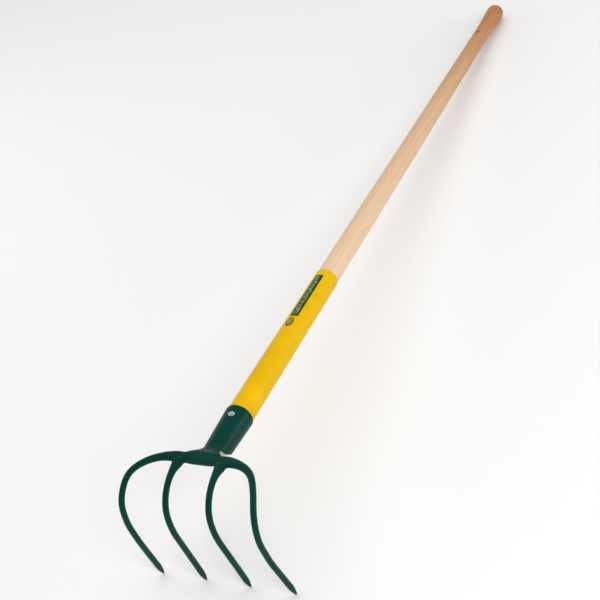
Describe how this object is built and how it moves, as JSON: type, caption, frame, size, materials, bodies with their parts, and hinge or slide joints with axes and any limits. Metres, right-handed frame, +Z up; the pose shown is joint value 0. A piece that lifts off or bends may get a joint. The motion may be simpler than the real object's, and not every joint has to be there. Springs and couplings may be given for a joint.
{
  "type": "drag fork",
  "caption": "Long straight wooden handle with a domed knob and a hanging hole; its rolled steel socket carries a crossbar whose round tines hook down and back to short points.",
  "frame": {"origin": "on the ground under the middle of the tool's bounding box, the tool lying at rest on its tine tips and the knob of its handle", "axes": "+Z up from the ground; +Y along the tool from the tines towards the butt of the handle, which slopes down by about 6 degrees; +X across the head"},
  "size_m": [0.1926, 1.4349, 0.1877],
  "materials": {
    "ash": "turned ash, fine sanded, thin clear oil",
    "sleeve_yellow": "yellow plastic skin over the wood, satin gloss",
    "label_green": "printed film, dark green",
    "painted_steel": "dark green stove enamel on forged steel, semi-gloss",
    "zinc": "bright zinc-plated rivet"
  },
  "bodies": {
    "root": {"handle": "ash", "sleeve": "sleeve_yellow", "label_panel": "label_green", "label_mark": "label_green", "socket": "painted_steel", "socket_rivet": "zinc", "crossbar": "painted_steel", "tine_inner_right": "painted_steel", "tine_inner_left": "painted_steel", "tine_outer_right": "painted_steel", "tine_outer_left": "painted_steel"}
  },
  "joints": []
}
